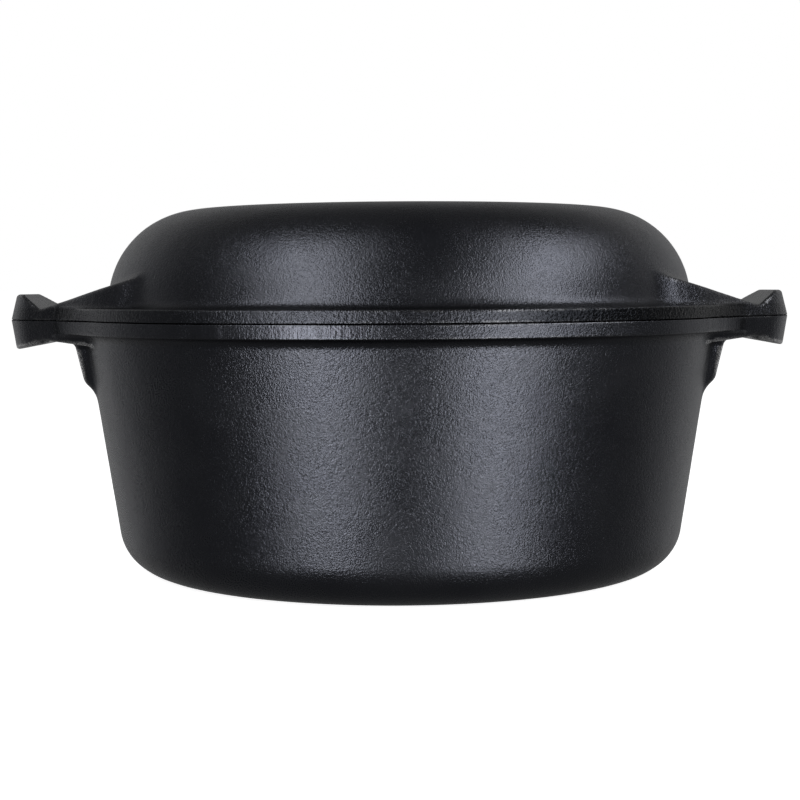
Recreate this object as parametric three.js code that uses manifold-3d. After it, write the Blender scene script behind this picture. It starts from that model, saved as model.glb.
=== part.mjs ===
// Cast-iron double dutch oven: a deep pot, and a skillet that closes it as its lid.
// Millimetres, +Z up. The origin is the centre of the pot's base, and the handles point along X.
//
// Both castings are drawn the same way up, as bowls whose mouth lies in the plane z = 0 and whose
// bottom hangs below it. The pot is then lifted to its height, and the skillet is turned over.

import * as THREE from "three";
import { mergeVertices } from "three/addons/utils/BufferGeometryUtils.js";
import Module from "manifold-3d";

const wasm = await Module();
wasm.setup();

const X = new THREE.Vector3(1, 0, 0);
const Y = new THREE.Vector3(0, 1, 0);
const Z = new THREE.Vector3(0, 0, 1);
const radians = THREE.MathUtils.degToRad;

// ---- Driving sizes ------------------------------------------------------------------------

const potHeight = 105; // base to the mouth
const potRimRadius = 131.5; // outside of the wall, carried up to the mouth
const potDraft = radians(8.8); // lean of the wall
const potCornerRadius = 20; // outside corner between wall and base
const potWall = 4.2;
const potFloor = 4.8;

const lidHeight = 44.8; // mouth to the flat cooking base of the skillet
const lidStepIn = 8.2; // how far the skillet's wall stands inside the pot's wall
const lidDraft = radians(11.2);
const lidCornerRadius = 38.4;
const lidWall = 4;
const lidFloor = 4.6;

const flangeOverhang = 3.6; // rim flange beyond the pot's wall
const potFlangeDepth = 5.6;
const lidFlangeDepth = 5;
const potFlangeFillet = 3.6; // wall to flange
const lidFlangeFillet = 4.8;
const flangeEdge = 0.9; // broken edges of the flange

const seatWidth = 3.2; // ground land on the pot's rim that carries the skillet
const seatRelief = 0.25; // the flanges stand back this much outside the land, on each casting
const spigotDepth = 2.5; // ring under the skillet that drops into the pot's mouth
const spigotClearance = 1;

const slotReach = 12.1; // finger slot, from the flange to the handle's bar
const slotHalfLength = 25;
const slotCornerRadius = 6;
const slotArcRadius = 50; // outer edge of the slot
const barWidth = 16.1; // handle's bar, from the slot to the tip
const tipAllowance = 9; // radius of the bar's tip, seen from above, beyond half the slot's length
const tipHalfAngle = radians(48);
const rootHalfWidth = 58; // arms where they run into the wall
const rootReachIn = 30; // how far inside the flange's edge that is
const rootSpread = 0.4; // how fast the arms are still widening there
const flareHalfAngle = radians(29); // where the flange's edge leaves for the arms
const flareEase = 25.5; // straight run of that edge before it bends
const flareEndX = 4.6; // where it has joined the arms: beyond the flange
const flareEndY = 10.8; // and beyond the slot's end
const armWidth = 16;
const lipHalfLength = 27.5; // lip along the bar, either side of the middle

// Each handle in side view: bar thickness, slope of the arms towards the bowl, then the lip:
// its depth, the width of its crest, the lean of the outer faces over that depth, the slope of its
// inner face, and how far along the bar it keeps its full depth, either side of the middle.
const potHandle = {
  bar: 7.9,
  armSlope: 0.1,
  lip: 12.5,
  crest: 0.4,
  lean: 2,
  lipSlope: 0.2,
  lipFlat: 17,
};
const lidHandle = {
  bar: 4.7,
  armSlope: 0.28,
  lip: 10.5,
  crest: 4.8,
  lean: 2.6,
  lipSlope: 0.68,
  lipFlat: 13.5,
};
const armRampBack = 1.3; // the slope starts this far inside the slot's outer edge
const lipRound = 0.6; // rounding between the crest and the end face

const padOverlap = 6; // pad on the pot's wall below each handle: how far its sides run into the arms
const padProud = 6.1; // beyond the wall, at the mouth
const padDraft = radians(13.3);
const padTop = 8.5;
const padBottom = 25.8;
const padChamfer = 4;

const turnSteps = 60; // facets round the bowls
const arcSteps = 5; // facets of each small curve
const lipSteps = 7; // facets of each fade of the lips
const buried = 12; // how far a joined piece starts inside its neighbour

// ---- Sizes that follow --------------------------------------------------------------------

const flangeRadius = potRimRadius + flangeOverhang;
const mouthRadius = potRimRadius - potWall / Math.cos(potDraft);
const seatRadius = mouthRadius + seatWidth;
const spigotRadius = mouthRadius - spigotDepth * Math.tan(potDraft) - spigotClearance;
const lidRimRadius = potRimRadius - lidStepIn;
const slotEdge = flangeRadius + slotReach;
const tipX = slotEdge + barWidth;
const tipRadius = slotHalfLength + tipAllowance;
const padHalfWidth = slotHalfLength + padOverlap;
const armRoot = flangeRadius - rootReachIn;

const potShell = {
  rim: potRimRadius,
  depth: potHeight,
  corner: potCornerRadius,
  draft: potDraft,
  wall: potWall,
  floor: potFloor,
  flange: potFlangeDepth,
  fillet: potFlangeFillet,
};
const lidShell = {
  rim: lidRimRadius,
  depth: lidHeight,
  corner: lidCornerRadius,
  draft: lidDraft,
  wall: lidWall,
  floor: lidFloor,
  flange: lidFlangeDepth,
  fillet: lidFlangeFillet,
};

// ---- Solids and their joins ---------------------------------------------------------------

function solidOf(geometry) {
  const bare = geometry.clone();
  bare.deleteAttribute("normal");
  bare.deleteAttribute("uv");
  const merged = mergeVertices(bare, 1e-4);
  return new wasm.Manifold(
    new wasm.Mesh({
      numProp: 3,
      vertProperties: merged.attributes.position.array,
      triVerts: new Uint32Array(merged.index.array),
    }),
  );
}

function geometryOf(solid) {
  const mesh = solid.getMesh();
  const geometry = new THREE.BufferGeometry();
  geometry.setAttribute("position", new THREE.BufferAttribute(mesh.vertProperties, 3));
  geometry.setIndex(new THREE.BufferAttribute(mesh.triVerts, 1));
  geometry.computeVertexNormals();
  return geometry;
}

// A profile in (radius, height), drawn from the bottom of the axis to its top, turned about Z.
function turned(profile) {
  const geometry = new THREE.LatheGeometry(profile.getPoints(arcSteps), turnSteps);
  return solidOf(geometry.rotateX(Math.PI / 2));
}

// A flat outline, drawn on the axes `right` and `up`, made solid between two heights above it.
function prism(outline, from, to, right, up) {
  const options = { depth: to - from, bevelEnabled: false, curveSegments: arcSteps };
  const geometry = new THREE.ExtrudeGeometry(outline, options).translate(0, 0, from);
  const along = new THREE.Vector3().crossVectors(right, up);
  return solidOf(geometry.applyMatrix4(new THREE.Matrix4().makeBasis(right, up, along)));
}

// A flat outline made solid from the mouth plane down, drawing in by `lean` at that depth. The
// half above the plane is its mirror image, and is cut away with the side view.
function drafted(outline, depth, lean) {
  const options = {
    depth: 0.1,
    bevelThickness: depth,
    bevelSize: lean,
    bevelOffset: -lean,
    bevelSegments: 1,
    curveSegments: arcSteps,
  };
  return solidOf(new THREE.ExtrudeGeometry(outline, options));
}

// The handles are two alike: one along +X, and its copy turned half round.
function bothSides(solid) {
  return solid.add(solidOf(geometryOf(solid).rotateZ(Math.PI)));
}

// ---- Bowls --------------------------------------------------------------------------------

// The outside of a bowl up to a height: flat bottom, round corner, leaning wall.
function bowlProfile({ rim, depth, corner, draft }, top) {
  const lean = Math.tan(draft);
  const round = Math.min(corner, depth - 1);
  const centre = rim - (depth - round) * lean - round / Math.cos(draft);
  const profile = new THREE.Path();
  profile.moveTo(0, -depth);
  profile.lineTo(centre, -depth);
  profile.absarc(centre, round - depth, round, -Math.PI / 2, -draft);
  profile.lineTo(rim + top * lean, top);
  return profile;
}

// The whole outside of a casting, with its flange, its seat and, on the skillet, its spigot.
function outerBody(shell, spigot) {
  const under = -shell.flange;
  const lean = Math.tan(shell.draft);
  const room = (flangeRadius - flangeEdge - shell.rim - under * lean) / (1 - lean);
  const fillet = Math.min(shell.fillet, 0.9 * room);
  const wallAtFlange = shell.rim + (under - fillet) * lean;
  const profile = bowlProfile(shell, under - fillet);
  profile.quadraticCurveTo(wallAtFlange, under, wallAtFlange + fillet, under);
  profile.lineTo(flangeRadius - flangeEdge, under);
  profile.lineTo(flangeRadius, under + flangeEdge);
  profile.lineTo(flangeRadius, -seatRelief - flangeEdge);
  profile.lineTo(flangeRadius - flangeEdge, -seatRelief);
  profile.lineTo(seatRadius + seatRelief, -seatRelief);
  profile.lineTo(seatRadius, 0);
  if (spigot) {
    profile.lineTo(spigotRadius, 0);
    profile.lineTo(spigotRadius, spigotDepth);
  }
  profile.lineTo(0, spigot ? spigotDepth : 0);
  return turned(profile);
}

// The hollow, carried past the mouth so that it opens the top.
function hollow({ rim, depth, corner, draft, wall, floor }) {
  const inside = {
    rim: rim - wall / Math.cos(draft),
    depth: depth - floor,
    corner: Math.max(corner - wall, 1),
    draft,
  };
  const profile = bowlProfile(inside, spigotDepth + 1);
  profile.lineTo(0, spigotDepth + 1);
  return turned(profile);
}

// ---- Handles ------------------------------------------------------------------------------

// The arms seen from above, from the tip's arc to the bowl: a gentle widening on each side.
function armOutline() {
  const centre = tipX - tipRadius;
  const shoulder = new THREE.Vector2(Math.cos(tipHalfAngle), Math.sin(tipHalfAngle));
  const start = { x: centre + tipRadius * shoulder.x, y: tipRadius * shoulder.y };
  const root = { x: armRoot, y: rootHalfWidth };
  const pull = (start.x - root.x) / 3;
  const near = { x: start.x - pull * shoulder.y, y: start.y + pull * shoulder.x };
  const far = { x: root.x + pull, y: root.y - pull * rootSpread };
  const outline = new THREE.Shape();
  outline.moveTo(root.x - buried, -root.y);
  outline.lineTo(root.x, -root.y);
  outline.bezierCurveTo(far.x, -far.y, near.x, -near.y, start.x, -start.y);
  outline.absarc(centre, 0, tipRadius, -tipHalfAngle, tipHalfAngle);
  outline.bezierCurveTo(near.x, near.y, far.x, far.y, root.x, root.y);
  outline.lineTo(root.x - buried, root.y);
  outline.closePath();
  return outline;
}

// The web that eases the flange's edge into the arms, no thicker than the flange.
function flareOutline() {
  const leave = {
    x: flangeRadius * Math.cos(flareHalfAngle),
    y: flangeRadius * Math.sin(flareHalfAngle),
  };
  const meet = { x: flangeRadius + flareEndX, y: slotHalfLength + flareEndY };
  const bend = {
    x: leave.x + flareEase * Math.sin(flareHalfAngle),
    y: leave.y - flareEase * Math.cos(flareHalfAngle),
  };
  const outline = new THREE.Shape();
  outline.moveTo(leave.x - buried, -leave.y);
  outline.lineTo(leave.x, -leave.y);
  outline.quadraticCurveTo(bend.x, -bend.y, meet.x, -meet.y);
  outline.lineTo(meet.x, meet.y);
  outline.quadraticCurveTo(bend.x, bend.y, leave.x, leave.y);
  outline.lineTo(leave.x - buried, leave.y);
  outline.closePath();
  return outline;
}

// The finger slot. It starts inside the flange, whose own edge closes it.
function slotOutline() {
  const inner = flangeRadius - buried;
  const angle = Math.asin((slotHalfLength - slotCornerRadius) / slotArcRadius);
  const centre = slotEdge - slotArcRadius;
  const end = {
    x: centre + slotArcRadius * Math.cos(angle),
    y: slotArcRadius * Math.sin(angle),
  };
  const outline = new THREE.Shape();
  outline.moveTo(inner, -slotHalfLength);
  outline.lineTo(end.x - slotCornerRadius, -slotHalfLength);
  outline.quadraticCurveTo(end.x, -slotHalfLength, end.x, -end.y);
  outline.absarc(centre, 0, slotArcRadius, -angle, angle);
  outline.quadraticCurveTo(end.x, slotHalfLength, end.x - slotCornerRadius, slotHalfLength);
  outline.lineTo(inner, slotHalfLength);
  outline.closePath();
  return outline;
}

// The space between the arms, beyond the thickness of the flange.
function gapOutline() {
  const inner = armRoot - buried;
  const widest = rootHalfWidth - armWidth;
  const outline = new THREE.Shape();
  outline.moveTo(inner, -widest);
  outline.lineTo(flangeRadius - flangeEdge, -slotHalfLength);
  outline.lineTo(flangeRadius - flangeEdge, slotHalfLength);
  outline.lineTo(inner, widest);
  outline.closePath();
  return outline;
}

// Arms and bar in side view: even under the bar, then deepening towards the bowl.
function armSide({ bar, armSlope }) {
  const root = armRoot - buried;
  const rampStart = slotEdge - armRampBack;
  const beyond = tipX + 1;
  const outline = new THREE.Shape();
  outline.moveTo(root, -seatRelief);
  outline.lineTo(root, -bar - armSlope * (rampStart - root));
  outline.lineTo(rampStart, -bar);
  outline.lineTo(beyond, -bar);
  outline.lineTo(beyond, -seatRelief);
  outline.closePath();
  return outline;
}

// The lip at the end of the bar in side view.
function lipSide({ lip, crest, lean, lipSlope }) {
  const crestOuter = tipX - lean - lipRound;
  const crestInner = crestOuter - crest;
  const outline = new THREE.Shape();
  outline.moveTo(slotEdge, -seatRelief);
  outline.lineTo(slotEdge, -lip + lipSlope * (crestInner - slotEdge));
  outline.lineTo(crestInner, -lip);
  outline.lineTo(crestOuter, -lip);
  outline.quadraticCurveTo(tipX - lean, -lip, tipX - lean, -lip + lipRound);
  outline.lineTo(tipX + 1, -lip + lipRound + 1);
  outline.lineTo(tipX + 1, -seatRelief);
  outline.closePath();
  return outline;
}

// The lip seen from the end: level in the middle, then fading into the bar on both sides.
function lipFront({ bar, lip, lipFlat }) {
  const side = [];
  for (let i = 0; i <= lipSteps; i++) {
    const t = i / lipSteps;
    const depth = lip - (lip - bar) * THREE.MathUtils.smoothstep(t, 0, 1);
    side.push({ along: lipFlat + t * (lipHalfLength - lipFlat), depth });
  }
  const outline = new THREE.Shape();
  outline.moveTo(-lipHalfLength, -seatRelief);
  for (const { along, depth } of [...side].reverse()) outline.lineTo(-along, -depth);
  for (const { along, depth } of side) outline.lineTo(along, -depth);
  outline.lineTo(lipHalfLength, -seatRelief);
  outline.closePath();
  return outline;
}

// One handle along +X: arms and bar, the lip and the web, with the finger slot cut through.
function handle(shape, flangeDepth) {
  const armDepth = shape.bar + shape.armSlope * (slotEdge - armRampBack - armRoot);
  const deep = -Math.max(shape.lip, armDepth) - 1;
  const wide = 2 * rootHalfWidth;
  const plan = drafted(armOutline(), -deep, (-deep * shape.lean) / shape.lip);
  const arms = plan
    .intersect(prism(armSide(shape), -wide, wide, X, Z))
    .subtract(prism(gapOutline(), deep, flangeEdge - flangeDepth, X, Y));
  const lip = plan
    .intersect(prism(lipSide(shape), -wide, wide, X, Z))
    .intersect(prism(lipFront(shape), 0, 2 * tipX, Y, Z));
  const flare = prism(flareOutline(), flangeEdge - flangeDepth, -seatRelief, X, Y);
  return arms.add(lip).add(flare).subtract(prism(slotOutline(), deep, 1, X, Y));
}

// ---- Pads on the pot's wall ----------------------------------------------------------------

// A shallow block that follows the wall, with a slope at its top and bottom.
function pad() {
  const cone = (z) => potRimRadius + padProud + z * Math.tan(padDraft);
  const profile = new THREE.Path();
  profile.moveTo(0, -padBottom - padChamfer - padProud);
  profile.lineTo(cone(-padBottom) - padChamfer - padProud, -padBottom - padChamfer - padProud);
  profile.lineTo(cone(-padBottom), -padBottom);
  profile.lineTo(cone(-padTop), -padTop);
  profile.lineTo(flangeRadius - flangeEdge, -potFlangeDepth);
  profile.lineTo(0, -potFlangeDepth);

  const inner = mouthRadius - buried;
  const outer = flangeRadius + padProud;
  const outline = new THREE.Shape();
  outline.moveTo(inner, -padHalfWidth);
  outline.lineTo(outer, -padHalfWidth);
  outline.lineTo(outer, padHalfWidth);
  outline.lineTo(inner, padHalfWidth);
  outline.closePath();
  const deep = -padBottom - padChamfer - 2 * padProud;
  return turned(profile).intersect(prism(outline, deep, -potFlangeDepth, X, Y));
}

// ---- The two castings ----------------------------------------------------------------------

const pot = outerBody(potShell, false)
  .add(bothSides(handle(potHandle, potFlangeDepth).add(pad())))
  .subtract(hollow(potShell));
const skillet = outerBody(lidShell, true)
  .add(bothSides(handle(lidHandle, lidFlangeDepth)))
  .subtract(hollow(lidShell));

const ironLook = { color: 0x2b2d31, roughness: 0.55, metalness: 0.35 };

const potMesh = new THREE.Mesh(geometryOf(pot), new THREE.MeshStandardMaterial(ironLook));
potMesh.name = "pot";
potMesh.position.z = potHeight;

const lidMesh = new THREE.Mesh(geometryOf(skillet), new THREE.MeshStandardMaterial(ironLook));
lidMesh.name = "skillet_lid";
lidMesh.rotation.x = Math.PI;
lidMesh.position.z = potHeight;

const group = new THREE.Group();
group.add(potMesh, lidMesh);

export default group;
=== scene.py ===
# Cast-iron double dutch oven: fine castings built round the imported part, their finish, a studio.
#
# Each casting is one signed field, negative inside the iron. The field is drawn, like the part
# itself, as a bowl whose mouth lies in the plane z = 0 and whose bottom hangs below it, in
# millimetres. The skin of the field becomes the mesh, which is then placed in the frame, in metres:
# the pot the right way up, the skillet turned over.

import math

import bpy
import numpy as np
from mathutils import Matrix, Vector


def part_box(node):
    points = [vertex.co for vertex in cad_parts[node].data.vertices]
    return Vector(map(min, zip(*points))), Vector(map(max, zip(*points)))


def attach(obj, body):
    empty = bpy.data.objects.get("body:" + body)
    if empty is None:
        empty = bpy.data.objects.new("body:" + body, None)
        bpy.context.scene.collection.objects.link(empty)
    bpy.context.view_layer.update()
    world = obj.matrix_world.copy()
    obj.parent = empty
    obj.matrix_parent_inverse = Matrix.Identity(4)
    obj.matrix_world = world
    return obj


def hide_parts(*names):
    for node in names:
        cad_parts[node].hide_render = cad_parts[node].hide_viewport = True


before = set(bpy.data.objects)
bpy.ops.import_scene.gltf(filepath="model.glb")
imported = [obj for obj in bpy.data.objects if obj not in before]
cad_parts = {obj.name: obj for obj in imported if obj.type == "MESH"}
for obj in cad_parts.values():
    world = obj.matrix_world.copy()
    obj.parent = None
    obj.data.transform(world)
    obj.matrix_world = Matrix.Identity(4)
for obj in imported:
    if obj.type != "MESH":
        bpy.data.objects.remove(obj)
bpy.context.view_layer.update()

MM = 0.001

# ---- Sizes, in millimetres ------------------------------------------------------------------

pot_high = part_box("pot")[1] / MM
lid_low, lid_high = (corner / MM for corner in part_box("skillet_lid"))

SEAM_HEIGHT = pot_high.z  # the mouth of the pot
FLANGE_RADIUS = pot_high.y
TIP_X = pot_high.x
SEAT_RELIEF = 0.15  # the flanges stand back this much outside the ground land
TIP_RELIEF = 0.05  # the handles' bars all but touch
BARS_FROM = FLANGE_RADIUS + 8  # the radius beyond which the bars' relief holds
SEAT_RADIUS = FLANGE_RADIUS - 4.65  # the ground land that the castings meet on
LAND_THICKNESS = 2.0
SPIGOT_DEPTH = SEAM_HEIGHT - lid_low.z  # the skillet's locating ring
SPIGOT_RADIUS = SEAT_RADIUS - 4.6


class Casting:
    """The sizes of one casting, in the drawn position.

    depth       from the mouth to the base
    rim         outer radius of the wall, carried up to the mouth
    draft       lean of the wall from upright
    corner      radius between the base and the wall
    wall, floor thicknesses
    flange      thickness of the flange, and fillet, the radius between it and the wall
    bar         depth of the handle's bar, from which arm_slope deepens the arms inwards
    lip         depth of the lip at its crest, which lies that far in from the tip's face
    lean        how far in the tip's face comes over the depth of the lip
    lip_slope   fall of the lip from its crest inwards
    lip_flat    half the length over which the lip keeps its depth
    pad         whether there are pads on the wall below the handles
    spigot      height of the locating ring
    seed        of the dents in the skin
    """

    def __init__(self, **sizes):
        self.__dict__.update(sizes)


POT = Casting(
    depth=SEAM_HEIGHT,
    rim=FLANGE_RADIUS - 3.6,
    draft=math.radians(8.8),
    corner=20.0,
    wall=4.2,
    floor=4.8,
    flange=5.6,
    fillet=3.6,
    bar=7.9,
    arm_slope=0.1,
    lip=12.5,
    crest=0.4,
    lean=2.0,
    lip_slope=0.2,
    lip_flat=20.0,
    pad=True,
    spigot=0.0,
    seed=11,
)
LID = Casting(
    depth=lid_high.z - SEAM_HEIGHT,
    rim=FLANGE_RADIUS - 11.8,
    draft=math.radians(11.2),
    corner=38.4,
    wall=4.0,
    floor=4.6,
    flange=5.0,
    fillet=4.0,
    bar=4.7,
    arm_slope=0.28,
    lip=10.5,
    crest=4.8,
    lean=2.6,
    lip_slope=0.68,
    lip_flat=17.0,
    pad=False,
    spigot=SPIGOT_DEPTH,
    seed=23,
)

# Handles. Arms, bars and finger slots are alike in plan on both castings.
SLOT_EDGE = FLANGE_RADIUS + 12.1  # outer side of the finger slot
SLOT_HALF_LENGTH = 25.0
SLOT_CORNER = 6.0
SLOT_ARC = 50.0
TIP_RADIUS = SLOT_HALF_LENGTH + 9.0
TIP_HALF_ANGLE = math.radians(48)
ROOT_HALF_WIDTH = 58.0
ROOT_X = FLANGE_RADIUS - 30.0
ROOT_SPREAD = 0.4
FLARE_HALF_ANGLE = math.radians(29)
FLARE_EASE = 25.5
LIP_HALF_LENGTH = 29.0
LIP_ROUND = 0.6
RAMP_X = SLOT_EDGE - 1.3
GAP_SPREAD = 0.41  # how the space between the arms widens towards the bowl
WEB_END_X = FLANGE_RADIUS + 4.6  # where the web between flange and arms has joined the arms
WEB_END_Y = SLOT_HALF_LENGTH + 10.8
WEB_LEAN_FROM, WEB_LEAN_TO = 118.0, 138.0  # where the web takes up the arms' draft
SHOULDER_ANGLE = math.radians(36)
SHOULDER_SINK = 0.9  # how far the shoulder starts inside the skillet's rim
HANDLES_FROM = 100.0  # there are finger slots only beyond this distance along x
PADS_FROM = 90.0
INLAND = 40.0  # how far outlines run on inside the bowl

# Pads under the pot's handles.
PAD_HALF_WIDTH = SLOT_HALF_LENGTH + 6.0
PAD_CORNER = 4.0
PAD_PROUD = 6.1
PAD_DRAFT = math.radians(13.3)
PAD_BOTTOM = 25.8
PAD_FOOT = math.radians(37)  # slope of its underside
PAD_ROOF = (0.9, 0.43)  # how its upper end faces: outwards and upwards

# Fillets and rounded edges.
EDGE = 0.6  # broken edges of the flange
ARM_EDGE = 1.2  # arms, bars and the space between them
SLOT_BEND = 4.0  # the finger slot's sides into its inner end
SLOT_RIM = 1.3  # the finger slot's edges
PAD_EDGE = 1.2
PAD_ROOF_EDGE = 1.0
PAD_FILLET = 3.0
ROOT_TIGHT = 0.2  # arms into flange, within the flange's thickness
ROOT_EXTRA = 2.2  # and how much more below it
FACE_EDGE = 0.3  # the relieved face of flange and handles
LAND_EDGE = 0.2
SPIGOT_EDGE = 0.6
MOUTH_EDGE = 0.6

# The part of each quarter of the field that the handle can reach.
HANDLE_X, HANDLE_Y, HANDLE_Z = 60.0, 95.0, -45.0

# ---- Joins of fields ------------------------------------------------------------------------


def ramp(values, low, high):
    t = np.clip((values - low) / (high - low), 0, 1)
    return t * t * (3 - 2 * t)


def joined(a, b, radius):
    """Both solids, with a fillet of that radius in the corner between them."""
    u, v = np.maximum(radius - a, 0), np.maximum(radius - b, 0)
    return np.maximum(radius, np.minimum(a, b)) - np.hypot(u, v)


def common(a, b, radius):
    """What the two solids share, with its edge rounded to that radius."""
    return -joined(-a, -b, radius)


def without(a, b, radius):
    """The first solid less the second, with the new edge rounded."""
    return common(a, -b, radius)


# ---- Outlines in plan ------------------------------------------------------------------------


def bezier(points, steps):
    """A Bezier curve through its end points, as a list of points, without the first."""
    curve = []
    for i in range(1, steps + 1):
        t, row = i / steps, [np.array(p) for p in points]
        while len(row) > 1:
            row = [a + (b - a) * t for a, b in zip(row, row[1:])]
        curve.append(row[0])
    return curve


def arm_outline(steps=12):
    """The handle's outer side seen from above, from the bowl to the tip, for y > 0."""
    centre = TIP_X - TIP_RADIUS
    shoulder = np.array([math.cos(TIP_HALF_ANGLE), math.sin(TIP_HALF_ANGLE)])
    start = np.array([centre, 0]) + TIP_RADIUS * shoulder
    root = np.array([ROOT_X, ROOT_HALF_WIDTH])
    pull = (start[0] - root[0]) / 3
    near = start + pull * np.array([-shoulder[1], shoulder[0]])
    far = root + pull * np.array([1, -ROOT_SPREAD])
    inland = root + INLAND * np.array([-1, ROOT_SPREAD])
    curve = [inland, root] + bezier([root, far, near, start], steps)
    for i in range(1, steps + 1):
        angle = TIP_HALF_ANGLE * (1 - i / steps)
        ray = np.array([math.cos(angle), math.sin(angle)])
        curve.append(np.array([centre, 0]) + TIP_RADIUS * ray)
    return np.array(curve)


def flare_outline(steps=8):
    """The web that eases the flange's edge into the arms, for y > 0."""
    leave = FLANGE_RADIUS * np.array([math.cos(FLARE_HALF_ANGLE), math.sin(FLARE_HALF_ANGLE)])
    along = np.array([math.sin(FLARE_HALF_ANGLE), -math.cos(FLARE_HALF_ANGLE)])
    meet = np.array([WEB_END_X, WEB_END_Y])
    inland = leave - np.array([INLAND, 0])
    curve = [inland, leave] + bezier([leave, leave + FLARE_EASE * along, meet], steps)
    return np.array(curve + [np.array([meet[0], 0])])


def plan_distance(outline, x, y):
    """Distance in plan from an open outline, negative on the side of the bowl's axis."""
    nearest = np.full(x.shape, 1e9)
    signed = np.full(x.shape, 1.0)
    for a, b in zip(outline, outline[1:]):
        edge = b - a
        dx, dy = x - a[0], y - a[1]
        t = np.clip((dx * edge[0] + dy * edge[1]) / (edge @ edge), 0, 1)
        away = np.hypot(dx - t * edge[0], dy - t * edge[1])
        side = edge[0] * dy - edge[1] * dx
        closer = away < nearest
        nearest = np.where(closer, away, nearest)
        signed = np.where(closer, np.sign(side), signed)
    return nearest * signed


def shoulder_outline(steps=12):
    """Where the skillet's arms fill out towards the bowl, nearly flush with the web, for y > 0."""
    meet = np.array([WEB_END_X, WEB_END_Y])
    ray = np.array([math.cos(SHOULDER_ANGLE), math.sin(SHOULDER_ANGLE)])
    root = (LID.rim - SHOULDER_SINK) * ray
    curve = bezier([root, root + [22, -9], meet + [-8.2, 6.6], meet], steps)
    return np.array([root - [INLAND, -10], root] + curve + [np.array([meet[0], 0])])


ARM_OUTLINE = arm_outline()
SHOULDER_OUTLINE = shoulder_outline()
FLARE_OUTLINE = flare_outline()

# ---- Solids ----------------------------------------------------------------------------------


def bowl(r, z, rim, depth, corner, draft):
    """Outside of a bowl open upwards: flat bottom, round corner, leaning wall."""
    c, s = math.cos(draft), math.sin(draft)
    wall = (r - rim) * c - z * s
    bottom = -depth - z
    centre = rim - (depth - corner) * s / c - corner / c
    q, h = r - centre, z - (corner - depth)
    on_corner = (q > 0) & (s * q + c * h < 0)
    return np.where(on_corner, np.hypot(q, h) - corner, np.maximum(wall, bottom))


def disc(r, z, radius, low, high, edge):
    """A disc between two heights, its rim's edges rounded."""
    u = r - radius + edge
    v = np.abs(z - (low + high) / 2) - (high - low) / 2 + edge
    return np.hypot(np.maximum(u, 0), np.maximum(v, 0)) + np.minimum(np.maximum(u, v), 0) - edge


def handle_field(part, x, y, z):
    """Arms, bar and lip of one handle, open upwards, before the finger slot is cut."""
    lean = part.lean / part.lip
    plan = plan_distance(ARM_OUTLINE, x, y)
    if part is LID:
        plan = np.minimum(plan, plan_distance(SHOULDER_OUTLINE, x, y))
    plan = (plan - lean * z) / math.hypot(1, lean)
    arms = part.bar + part.arm_slope * np.maximum(RAMP_X - x, 0)
    crest = TIP_X - part.lean - LIP_ROUND - part.crest
    slope = np.minimum(part.lip, part.lip + part.lip_slope * (x - crest))
    swell = 1 - ramp(y, part.lip_flat, LIP_HALF_LENGTH)
    swollen = part.bar + (part.lip - part.bar) * swell
    lip = np.where(x > SLOT_EDGE - 3, np.minimum(slope, swollen), 0)
    under = -z - np.maximum(arms, lip)
    grip = common(plan, under, ARM_EDGE)

    # The space between the arms, beyond the thickness of the flange.
    beside = y - SLOT_HALF_LENGTH - GAP_SPREAD * (FLANGE_RADIUS - x)
    gap = beside / math.hypot(1, GAP_SPREAD)
    gap = np.maximum(gap, x - FLANGE_RADIUS + EDGE)
    gap = np.maximum(gap, z + part.flange - EDGE)
    return without(grip, gap, ARM_EDGE)


def slot_field(x, y, r):
    """The finger slot, from the flange's own edge outwards."""
    arc = np.hypot(x - (SLOT_EDGE - SLOT_ARC), y) - SLOT_ARC
    slot = common(arc, y - SLOT_HALF_LENGTH, SLOT_CORNER)
    return common(slot, np.maximum(FLANGE_RADIUS - r, HANDLES_FROM - x), SLOT_BEND)


def pad_field(x, y, z, r):
    """The pad on the pot's wall below a handle."""
    c, s = math.cos(PAD_DRAFT), math.sin(PAD_DRAFT)
    proud = POT.rim + PAD_PROUD
    face = (r - proud) * c - z * s
    foot = (r - proud + PAD_BOTTOM * s / c) * math.sin(PAD_FOOT)
    foot = foot - (z + PAD_BOTTOM) * math.cos(PAD_FOOT)
    roof = (r - FLANGE_RADIUS + EDGE) * PAD_ROOF[0] + (z + POT.flange) * PAD_ROOF[1]
    block = common(face, y - PAD_HALF_WIDTH, PAD_CORNER)
    block = common(block, foot, PAD_EDGE)
    block = common(block, roof, PAD_ROOF_EDGE)
    return np.maximum(np.maximum(block, z + POT.flange / 2), PADS_FROM - x)


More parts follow.
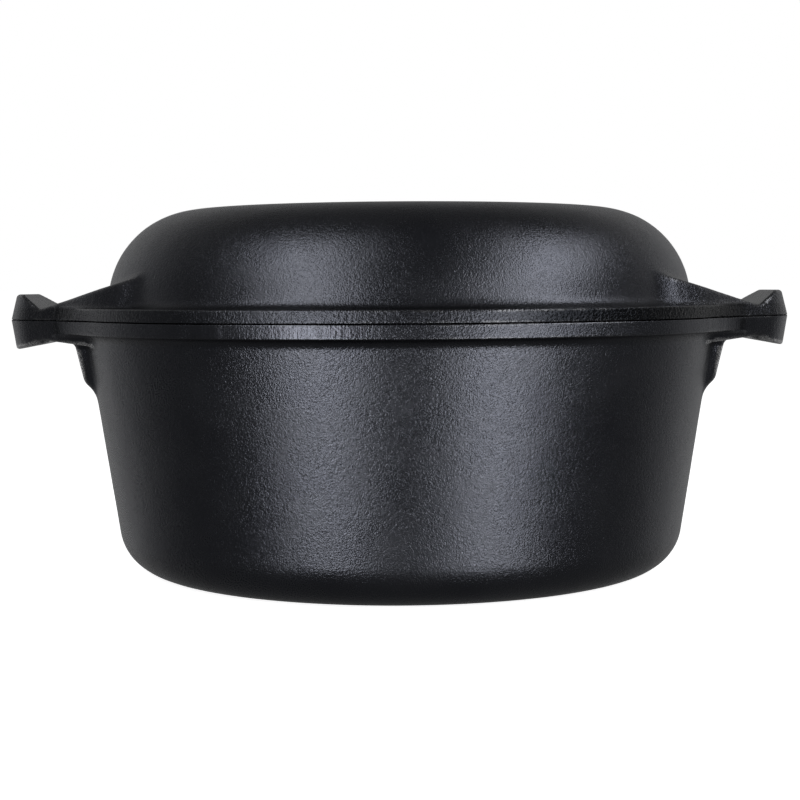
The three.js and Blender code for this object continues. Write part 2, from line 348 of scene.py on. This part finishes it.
def field(part, x, y, z):
    """The casting's signed field in millimetres."""
    x, y = np.abs(x), np.abs(y)
    r = np.hypot(x, y)
    solid = bowl(r, z, part.rim, part.depth, part.corner, part.draft)
    near = (x > HANDLE_X) & (y < HANDLE_Y) & (z > HANDLE_Z)
    nx, ny, nz, nr = x[near], y[near], z[near], r[near]
    if part.pad:
        solid[near] = joined(solid[near], pad_field(nx, ny, nz, nr), PAD_FILLET)
    edge = r - FLANGE_RADIUS
    web_lean = part.lean / part.lip * ramp(nx, WEB_LEAN_FROM, WEB_LEAN_TO)
    edge[near] = np.minimum(edge[near], plan_distance(FLARE_OUTLINE, nx, ny) - web_lean * nz)
    solid = joined(solid, common(edge, -part.flange - z, EDGE), part.fillet)
    root = ROOT_TIGHT + ROOT_EXTRA * ramp(-nz, part.flange - EDGE, part.flange + EDGE)
    solid[near] = joined(solid[near], handle_field(part, nx, ny, nz), root)
    solid[near] = without(solid[near], slot_field(nx, ny, nr), SLOT_RIM)
    relief = np.where(r > BARS_FROM, TIP_RELIEF, SEAT_RELIEF)
    solid = common(solid, z + relief, FACE_EDGE)
    solid = np.minimum(solid, disc(r, z, SEAT_RADIUS, -LAND_THICKNESS, 0.0, LAND_EDGE))
    if part.spigot:
        ring = disc(r, z, SPIGOT_RADIUS, -LAND_THICKNESS, part.spigot, SPIGOT_EDGE)
        solid = np.minimum(solid, ring)
    inner_rim = part.rim - part.wall / math.cos(part.draft)
    hollow = bowl(r, z, inner_rim, part.depth - part.floor, part.corner - part.wall, part.draft)
    return without(solid, hollow, MOUTH_EDGE)


# ---- From field to mesh ----------------------------------------------------------------------

GATHER_WITHIN = 70.0  # cells inside this radius are gathered by twos, inside half of it by fours
GATHER_LEVELS = 5
HANDLE_SPAN = 31.0  # degrees each side of the x axis that take the finer angles
FINE_ANGLES, COARSE_ANGLES = 57, 37
DENT_LONGEST, DENT_SHORTEST, DENT_HEIGHT = 45.0, 12.0, 0.02
FLAT_BASE = 3.0  # the dents fade over this height above the flat base


def spaced(*stretches):
    """Grid lines through (start, step) stretches, the last of which only ends the one before."""
    lines = []
    for (start, step), (end, _) in zip(stretches, stretches[1:]):
        count = max(1, round((end - start) / step))
        lines.extend(start + (end - start) * i / count for i in range(count))
    return np.array(lines + [stretches[-1][0]])


def net_of(part, angles, radii, heights):
    """A net of quads over the skin: one point in each cell of the grid that the skin crosses."""
    folded = np.abs((angles + math.pi / 2) % math.pi - math.pi / 2)
    quarter, back = np.unique(np.round(folded, 9), return_inverse=True)
    a, r, z = np.meshgrid(quarter, radii, heights, indexing="ij")
    value = field(part, r * np.cos(a), r * np.sin(a), z)[back.ravel()]
    inside = value < 0
    turns, rings, levels = value.shape
    ahead = np.roll(np.arange(turns), -1)

    count = np.zeros((turns, rings - 1, levels - 1), np.int8)
    corners = [(i, j, k) for i in (0, 1) for j in (0, 1) for k in (0, 1)]

    def shifted(array, i, j, k):
        array = array[ahead] if i else array
        return array[:, j : rings - 1 + j, k : levels - 1 + k]

    for corner in corners:
        count += shifted(inside, *corner)
    crossed = np.argwhere((count > 0) & (count < 8))
    number = np.full(count.shape, -1, np.int64)
    number[tuple(crossed.T)] = np.arange(len(crossed))

    ci, cj, ck = crossed.T
    around = {}
    for i, j, k in corners:
        row = (ci + i) % turns
        around[(i, j, k)] = value[row, cj + j, ck + k]
    wide = np.diff(np.append(angles, angles[0] + 2 * math.pi))
    total, hits = np.zeros((len(crossed), 3)), np.zeros(len(crossed))
    for start in corners:
        for axis in range(3):
            if start[axis]:
                continue
            end = tuple(1 if n == axis else start[n] for n in range(3))
            va, vb = around[start], around[end]
            cut = (va < 0) != (vb < 0)
            t = np.where(cut, va / np.where(cut, va - vb, 1), 0)
            for n in range(3):
                total[:, n] += np.where(cut, t if n == axis else start[n], 0)
            hits += cut
    share = total / hits[:, None]
    at_angle = angles[ci] + share[:, 0] * wide[ci]
    at_radius = radii[cj] + share[:, 1] * (radii[cj + 1] - radii[cj])
    at_height = heights[ck] + share[:, 2] * (heights[ck + 1] - heights[ck])
    points = np.stack([at_radius * np.cos(at_angle), at_radius * np.sin(at_angle), at_height], 1)

    quads = []

    def add(cells, outward):
        ring = np.stack([number[c] for c in cells], 1)
        keep = (ring >= 0).all(1)
        ring, outward = ring[keep], outward[keep]
        ring[outward] = ring[outward][:, ::-1]
        quads.append(ring)

    i, j, k = np.nonzero(inside[:, 1:-1, 1:-1] != inside[ahead][:, 1:-1, 1:-1])
    j, k = j + 1, k + 1
    add([(i, j - 1, k - 1), (i, j, k - 1), (i, j, k), (i, j - 1, k)], inside[i, j, k])
    i, j, k = np.nonzero(inside[:, :-1, 1:-1] != inside[:, 1:, 1:-1])
    k = k + 1
    add([(i - 1, j, k - 1), (i - 1, j, k), (i, j, k), (i, j, k - 1)], inside[i, j, k])
    i, j, k = np.nonzero(inside[:, 1:-1, :-1] != inside[:, 1:-1, 1:])
    j = j + 1
    add([(i - 1, j - 1, k), (i, j - 1, k), (i, j, k), (i - 1, j, k)], inside[i, j, k])

    # Towards the axis the cells narrow, so they are gathered by twos, fours and so on.
    leader = np.arange(len(points))
    for level in range(1, GATHER_LEVELS + 1):
        group = 2**level
        narrow = radii[cj] < GATHER_WITHIN / 2 ** (level - 1)
        first = number[(ci // group) * group, cj, ck]
        leader = np.where(narrow & (first >= 0), first, leader)
    quads = leader[np.concatenate(quads)]

    # Caps over the axis.
    faces = quads.tolist()
    for k in sorted(set(ck[cj == 0])):
        ring = leader[number[:, 0, k]]
        ring = [int(n) for n, before in zip(ring, np.roll(ring, 1)) if n != before]
        up = bool(inside[0, 0, k])
        faces.append(ring if up else ring[::-1])
    return points, faces


def gradient(part, p, step=0.02):
    """The field's slope at each point, by differences."""
    columns = []
    for s in np.eye(3) * step:
        columns.append((field(part, *(p + s).T) - field(part, *(p - s).T)) / (2 * step))
    return np.stack(columns, 1)


def settled(part, p, rounds=4, least_slope=0.05, farthest=0.5):
    """The points moved onto the skin, in rounds of at most the farthest move."""
    for _ in range(rounds):
        g = gradient(part, p)
        length = np.maximum((g**2).sum(1), least_slope)
        move = g * (field(part, *p.T) / length)[:, None]
        size = np.linalg.norm(move, axis=1, keepdims=True)
        p = p - move * np.minimum(1, farthest / np.maximum(size, 1e-9))
    return p


def undulation(p, seed, longest, shortest, height, waves=40):
    """Soft dents of the sand mould: plane waves with seeded directions and lengths."""
    random = np.random.default_rng(seed)
    direction = random.normal(size=(waves, 3))
    direction /= np.linalg.norm(direction, axis=1, keepdims=True)
    length = np.exp(random.uniform(math.log(shortest), math.log(longest), waves))
    phase = random.uniform(0, 2 * math.pi, waves)
    turns = p @ (direction * (2 * math.pi / length)[:, None]).T + phase
    return height * math.sqrt(2 / waves) * np.sin(turns).sum(1)


def piece_of(part, name, radii, heights, place):
    """The casting as an object: meshed, settled on its skin, dented and put in its place."""
    fine = np.linspace(0, HANDLE_SPAN, FINE_ANGLES)
    coarse = np.linspace(HANDLE_SPAN, 90, COARSE_ANGLES)[1:]
    quarter = np.radians(np.concatenate([fine, coarse]))
    half = np.concatenate([quarter, math.pi - quarter[-2:0:-1]])
    angles = np.concatenate([half, half + math.pi])
    points, faces = net_of(part, angles, radii, heights)

    cleaned = []
    for face in faces:
        ring = [n for n, before in zip(face, face[-1:] + face[:-1]) if n != before]
        if len(ring) > 2:
            cleaned.append(ring)
    used = np.unique(np.concatenate([np.array(ring) for ring in cleaned]))
    new = np.full(len(points), -1)
    new[used] = np.arange(len(used))
    points = settled(part, points[used])
    normal = gradient(part, points)
    normal /= np.maximum(np.linalg.norm(normal, axis=1, keepdims=True), 1e-9)
    level = np.clip((points[:, 2] + part.depth) / FLAT_BASE, 0, 1)
    dents = undulation(points, part.seed, DENT_LONGEST, DENT_SHORTEST, DENT_HEIGHT)
    points = points + normal * (level * dents)[:, None]

    mesh = bpy.data.meshes.new(name)
    mesh.from_pydata(place(points) * MM, [], [new[ring].tolist() for ring in cleaned])
    mesh.validate()
    mesh.shade_smooth()
    mesh.update()
    piece = bpy.data.objects.new(name, mesh)
    bpy.context.scene.collection.objects.link(piece)
    return piece


def upright(p):
    return p + [0, 0, SEAM_HEIGHT]


def turned_over(p):
    return p * [1, -1, -1] + [0, 0, SEAM_HEIGHT]


HANDLE_RINGS = [(131, 0.45), (136.4, 0.95), (TIP_X + 2, 0)]
pot = piece_of(
    POT,
    "pot_casting",
    spaced((0, 6), (96, 1.5), (116, 1.2), *HANDLE_RINGS),
    spaced((-106.2, 1.0), (-99, 1.5), (-84, 2.7), (-30, 1.2), (-14, 0.7), (-7, 0.35), (0.7, 0)),
    upright,
)
lid = piece_of(
    LID,
    "skillet_casting",
    spaced((0, 6), (80, 1.6), (112, 1.2), (123, 0.8), *HANDLE_RINGS),
    spaced((-46, 0.8), (-39, 1.1), (-14, 0.8), (-7, 0.35), (0.7, 0.5), (3.4, 0)),
    turned_over,
)
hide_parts("pot")
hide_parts("skillet_lid")
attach(pot, "pot_body")
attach(lid, "lid_body")

# ---- Finish, with painted highlights and shade ------------------------------------------------


def marked(piece, name, values):
    """A number for each vertex, which the material reads by its name."""
    attribute = piece.data.attributes.new(name, "FLOAT", "POINT")
    attribute.data.foreach_set("value", values.astype(np.float32))


def arc_mask(angle, zones, soft=6.0):
    """1 inside the zones, given in degrees round the axis, fading over a few degrees."""
    mask = np.zeros(len(angle))
    for start, end in zones:
        away = np.abs((angle - (start + end) / 2 + 180) % 360 - 180) - (end - start) / 2
        mask = np.maximum(mask, 1 - ramp(away, -soft, soft))
    return mask


# Degrees round the axis: where the pot's flange was linished, where the flanges' edges are rubbed
# bright, partly worn and partly a painted highlight, and where the skillet's flange is darker and
# coarser.
GROUND_ZONES = [(-128, -94), (-30, -12), (28, 75), (120, 165)]
EDGE_ZONES = [(-86, -52), (-22, 12), (60, 95), (150, 185)]
ROUGH_ZONES = [(-150, -91), (15, 70)]
BEND_STEP = 0.8  # how far round a point the field is sampled to find how convex the skin is
for piece, part in ((pot, POT), (lid, LID)):
    co = np.zeros(len(piece.data.vertices) * 3, np.float32)
    piece.data.vertices.foreach_get("co", co)
    p = co.reshape(-1, 3) / MM - [0, 0, SEAM_HEIGHT]
    if part is LID:
        p = p * [1, -1, -1]
    r, angle = np.hypot(p[:, 0], p[:, 1]), np.degrees(np.arctan2(p[:, 1], p[:, 0]))
    band = ramp(r, FLANGE_RADIUS - 1.2, FLANGE_RADIUS - 0.5)
    band = band * ramp(p[:, 2], -part.flange - 0.4, -part.flange + 0.4)
    slope = gradient(part, p)
    lip = ramp(np.abs(p[:, 0]), SLOT_EDGE - 4, SLOT_EDGE - 1)
    lip = lip * ramp(-p[:, 2], part.bar + 0.2, part.bar + 0.8)
    lip = lip * ramp(-slope[:, 2], 0.3, 0.6)
    arms = ramp(p[:, 0], 110, 120) * ramp(r, 116, 122) * (1 - lip)
    rough_zone = arc_mask(angle, ROUGH_ZONES) * (part is LID)
    marked(piece, "ground", band * arc_mask(angle, GROUND_ZONES if part is POT else []))
    # The skillet's flange is darker, most of all in the rough zones.
    marked(piece, "darker_flange", band * (0.35 * (part is LID) + 0.65 * rough_zone))
    marked(piece, "sandy", np.maximum(band * (0.4 + 0.6 * rough_zone), 0.7 * arms) * (part is LID))
    # The handles' lips are painted lighter: a painted highlight.
    marked(piece, "grip", lip)
    # Convex places, painted lighter: partly worn by handling, partly a painted highlight.
    moves = [sign * BEND_STEP * axis for axis in np.eye(3) for sign in (-1, 1)]
    around = sum(field(part, *(p + move).T) for move in moves)
    bend = (around - 6 * field(part, *p.T)) / BEND_STEP**2
    bright = 1 - band * (1 - arc_mask(angle, EDGE_ZONES))
    marked(piece, "edge_wear_and_highlight", ramp(bend, 0.1, 0.7) * (0.15 + 0.85 * bright))
    # Hollows and creases are painted darker: painted shade.
    marked(piece, "painted_crease_shade", ramp(-bend, 0.05, 0.8))
    # The pot's pads get a painted highlight, nearly white, along their rounded upright edges.
    side = ramp(p[:, 2], -PAD_BOTTOM, -PAD_BOTTOM + 5) * ramp(-p[:, 2], 7.5, 9.5)
    side = side * ramp(np.abs(p[:, 0]), 100, 110)
    marked(piece, "pad_edge_highlight", ramp(bend, 0.05, 0.25) * side * (part is POT))


class Nodes:
    """Short calls for building a node tree."""

    def __init__(self, tree):
        self.tree = tree

    def new(self, kind, inputs=None, **settings):
        node = self.tree.nodes.new(kind)
        for name, value in settings.items():
            setattr(node, name, value)
        for name, value in (inputs or {}).items():
            if isinstance(value, bpy.types.NodeSocket):
                self.tree.links.new(value, node.inputs[name])
            else:
                node.inputs[name].default_value = value
        return node

    def noise(self, place, scale, detail=2.0, rough=0.5):
        inputs = {"Vector": place, "Scale": scale, "Detail": detail, "Roughness": rough}
        return self.new("ShaderNodeTexNoise", inputs).outputs["Fac"]

    def math(self, operation, a, b=0.0, c=0.0):
        node = self.new("ShaderNodeMath", {0: a, 1: b}, operation=operation)
        if isinstance(c, bpy.types.NodeSocket):
            self.tree.links.new(c, node.inputs[2])
        else:
            node.inputs[2].default_value = c
        return node.outputs[0]

    def range(self, value, low, high, to_low=0.0, to_high=1.0):
        inputs = {"Value": value, "From Min": low, "From Max": high}
        inputs.update({"To Min": to_low, "To Max": to_high})
        return self.new("ShaderNodeMapRange", inputs).outputs["Result"]

    def mix(self, share, a, b):
        node = self.new("ShaderNodeMix", {"Factor": share}, data_type="RGBA")
        for name, value in (("A", a), ("B", b)):
            socket = [i for i in node.inputs if i.name == name and i.type == "RGBA"][0]
            if isinstance(value, bpy.types.NodeSocket):
                self.tree.links.new(value, socket)
            else:
                socket.default_value = value
        return [o for o in node.outputs if o.type == "RGBA"][0]

    def attribute(self, name):
        return self.new("ShaderNodeAttribute", attribute_name=name).outputs["Fac"]


DARK_IRON = (0.052, 0.055, 0.067, 1)
PALE_IRON = (0.069, 0.072, 0.084, 1)
GRAIN_TOPS = (0.085, 0.087, 0.097, 1)
# Darker colour for the skillet's flange.
DARKER_FLANGE_IRON = (0.01, 0.011, 0.013, 1)
# Worn edges, partly a painted highlight.
WEAR_AND_HIGHLIGHT_IRON = (0.2, 0.202, 0.21, 1)
# Painted shade for hollows and creases.
CREASE_SHADE_IRON = (0.02, 0.021, 0.024, 1)
# Painted highlight for the handles' lips.
LIP_HIGHLIGHT_IRON = (0.13, 0.133, 0.142, 1)
# Painted highlight for the pads' edges, nearly white.
PAD_HIGHLIGHT_IRON = (0.9, 0.9, 0.91, 1)
BUMP_HEIGHT = 0.00014  # metres


def seasoned_iron():
    """Dark oiled iron: sand-cast grain, soft lumps, linished bands, edges partly worn and partly
    painted as highlights, painted highlights on lips and pad edges, and painted shade in hollows.
    """
    iron = bpy.data.materials.new("seasoned_iron")
    iron.use_nodes = True
    n = Nodes(iron.node_tree)
    shader = iron.node_tree.nodes["Principled BSDF"]
    place = n.new("ShaderNodeTexCoord").outputs["Object"]
    tall = n.new("ShaderNodeMapping", {"Vector": place, "Scale": (1, 1, 0.07)}).outputs["Vector"]
    edge_wear_and_highlight, ground = n.attribute("edge_wear_and_highlight"), n.attribute("ground")
    darker_flange, sandy = n.attribute("darker_flange"), n.attribute("sandy")
    painted_crease_shade, pad_edge_highlight = n.attribute("painted_crease_shade"), n.attribute("pad_edge_highlight")
    grip = n.attribute("grip")

    grain = n.noise(place, 2000, 1.0, 0.6)
    lumps = n.noise(place, 900, 1.0, 0.5)
    patches = n.noise(place, 28, 3.0, 0.6)
    streaks = n.noise(tall, 1100, 2.0, 0.6)
    pits = n.range(n.noise(place, 420, 1.0), 0.68, 0.8)

    linished = n.math("MULTIPLY", ground, n.range(n.noise(tall, 160, 2.0), 0.35, 0.55))
    # Lighter convex edges: wear, and a painted highlight.
    wear_and_highlight_spots = n.math("MULTIPLY", edge_wear_and_highlight, n.range(n.noise(place, 90, 4.0, 0.7), 0.38, 0.62))
    # Speckled painted highlight along the pads' edges.
    pad_highlight = n.math("MULTIPLY", pad_edge_highlight, n.range(grain, 0.35, 0.6))

    colour = n.mix(n.range(patches, 0.3, 0.7), DARK_IRON, PALE_IRON)
    colour = n.mix(n.range(grain, 0.35, 0.75, 0.0, 0.5), colour, GRAIN_TOPS)
    # The skillet's flange made darker.
    colour = n.mix(n.math("MULTIPLY", darker_flange, 0.9), colour, DARKER_FLANGE_IRON)
    # Convex edges lighter: wear, and a painted highlight.
    colour = n.mix(n.math("MULTIPLY", wear_and_highlight_spots, 0.5), colour, WEAR_AND_HIGHLIGHT_IRON)
    # Painted shade in the hollows.
    colour = n.mix(n.math("MULTIPLY", painted_crease_shade, 0.6), colour, CREASE_SHADE_IRON)
    # Painted highlight on the handles' lips.
    colour = n.mix(n.math("MULTIPLY", grip, 0.8), colour, LIP_HIGHLIGHT_IRON)
    # Painted highlight on the pads' edges.
    colour = n.mix(pad_highlight, colour, PAD_HIGHLIGHT_IRON)
    n.tree.links.new(colour, shader.inputs["Base Color"])

    rough = n.range(patches, 0.3, 0.7, 0.21, 0.26)
    rough = n.math("MULTIPLY_ADD", grain, 0.08, rough)
    rough = n.math("MULTIPLY_ADD", linished, -0.03, rough)
    rough = n.math("MULTIPLY_ADD", wear_and_highlight_spots, -0.03, rough)
    n.tree.links.new(rough, shader.inputs["Roughness"])

    coarse = n.math("MULTIPLY", grain, n.math("MULTIPLY_ADD", linished, -0.8, 1.0))
    height = n.math("MULTIPLY_ADD", lumps, 0.7, coarse)
    height = n.math("MULTIPLY_ADD", n.math("MULTIPLY", streaks, linished), 0.8, height)
    height = n.math("MULTIPLY_ADD", n.math("MULTIPLY", lumps, sandy), 2.0, height)
    height = n.math("MULTIPLY_ADD", pits, -0.3, height)
    bump = n.new("ShaderNodeBump", {"Height": height, "Strength": 1.0, "Distance": BUMP_HEIGHT})
    n.tree.links.new(bump.outputs["Normal"], shader.inputs["Normal"])
    shader.inputs["Metallic"].default_value = 1.0
    return iron


iron = seasoned_iron()
for piece in (pot, lid):
    piece.data.materials.append(iron)

# ---- Studio -----------------------------------------------------------------------------------

REACH = 40.0
floor_mesh = bpy.data.meshes.new("floor")
corners = [(-REACH, -REACH, 0), (REACH, -REACH, 0), (REACH, REACH, 0), (-REACH, REACH, 0)]
floor_mesh.from_pydata(corners, [], [(0, 1, 2, 3)])
floor = bpy.data.objects.new("floor", floor_mesh)
bpy.context.scene.collection.objects.link(floor)
floor.visible_diffuse = floor.visible_glossy = floor.visible_shadow = False
paper = bpy.data.materials.new("paper")
paper.use_nodes = True
paper_shader = paper.node_tree.nodes["Principled BSDF"]
paper_shader.inputs["Base Color"].default_value = (0.8, 0.8, 0.8, 1)
paper_shader.inputs["Roughness"].default_value = 1.0
paper_shader.inputs["Emission Color"].default_value = (1, 1, 1, 1)
paper_shader.inputs["Emission Strength"].default_value = 0.9
floor.data.materials.append(paper)

CAMERA_BACK = 0.74727  # metres in front of the axis
CAMERA_RISE = 14.2  # millimetres above the seam
CAMERA_DIP = 3.786  # degrees below level
CAMERA_ROLL = -0.363

camera_data = bpy.data.cameras.new("camera")
camera_data.lens = 79.44
camera_data.sensor_width = 36
camera = bpy.data.objects.new("camera", camera_data)
bpy.context.scene.collection.objects.link(camera)
camera.matrix_world = (
    Matrix.Translation((0, -CAMERA_BACK, (SEAM_HEIGHT + CAMERA_RISE) * MM))
    @ Matrix.Rotation(math.radians(90 - CAMERA_DIP), 4, "X")
    @ Matrix.Rotation(math.radians(CAMERA_ROLL), 4, "Z")
)
bpy.context.scene.camera = camera


def towards(azimuth, elevation, distance):
    """A place that many degrees to the camera's right and above the seam, seen from the object."""
    a, e = math.radians(azimuth), math.radians(elevation)
    away = Vector((math.cos(e) * math.sin(a), -math.cos(e) * math.cos(a), math.sin(e)))
    return Vector((0, 0, SEAM_HEIGHT * MM)) + away * distance


def strip(name, foot, head, width, level):
    """A long soft light from its foot to its head, its face to the object."""
    light = bpy.data.lights.new(name, "AREA")
    light.shape = "RECTANGLE"
    light.size, light.size_y = width, (head - foot).length
    light.energy = level * light.size * light.size_y
    thing = bpy.data.objects.new(name, light)
    bpy.context.scene.collection.objects.link(thing)
    middle = (foot + head) / 2
    up = (head - foot).normalized()
    back = middle - Vector((0, 0, SEAM_HEIGHT * MM))
    back = (back - up * back.dot(up)).normalized()
    turn = Matrix((up.cross(back), up, back)).transposed().to_4x4()
    thing.matrix_world = Matrix.Translation(middle) @ turn
    thing.visible_camera = False
    return thing


strip("left_low", towards(-27, -27, 1.7), towards(-28.5, 5, 1.7), 0.43, 21.5)
strip("left_high", towards(-30.5, 7, 1.7), towards(-64, 65, 1.8), 0.5, 12.5)
strip("right_low", towards(31.5, -31, 1.7), towards(38, 5, 1.7), 0.46, 19)
strip("right_high", towards(46, 7, 1.7), towards(94, 54, 1.8), 0.52, 14.5)

world = bpy.data.worlds.new("studio")
bpy.context.scene.world = world
world.use_nodes = True
w = Nodes(world.node_tree)
background = world.node_tree.nodes["Background"]
background.inputs["Color"].default_value = (1, 1, 1, 1)
# A pale wall behind the object, in a dim room; the camera itself sees plain white.
WALL_LIGHT, ROOM_LIGHT = 0.33, 0.11
direction = w.new("ShaderNodeTexCoord").outputs["Generated"]
aim = w.new("ShaderNodeSeparateXYZ", {"Vector": direction}).outputs
wall = w.math("MULTIPLY", w.range(aim["Y"], 0.2, 0.7), w.range(aim["Y"], 0.75, 0.95, 1.0, 0.5))
wall = w.math("MULTIPLY", wall, w.range(aim["Z"], 0.3, 0.65, 1.0, 0.0))
wall = w.math("MULTIPLY", wall, w.range(aim["Z"], -0.5, -0.2))
room = w.math("MULTIPLY_ADD", wall, WALL_LIGHT, ROOM_LIGHT)
seen = w.new("ShaderNodeLightPath").outputs["Is Camera Ray"]
w.tree.links.new(w.math("MAXIMUM", room, seen), background.inputs["Strength"])
bpy.context.scene.view_settings.view_transform = "Standard"
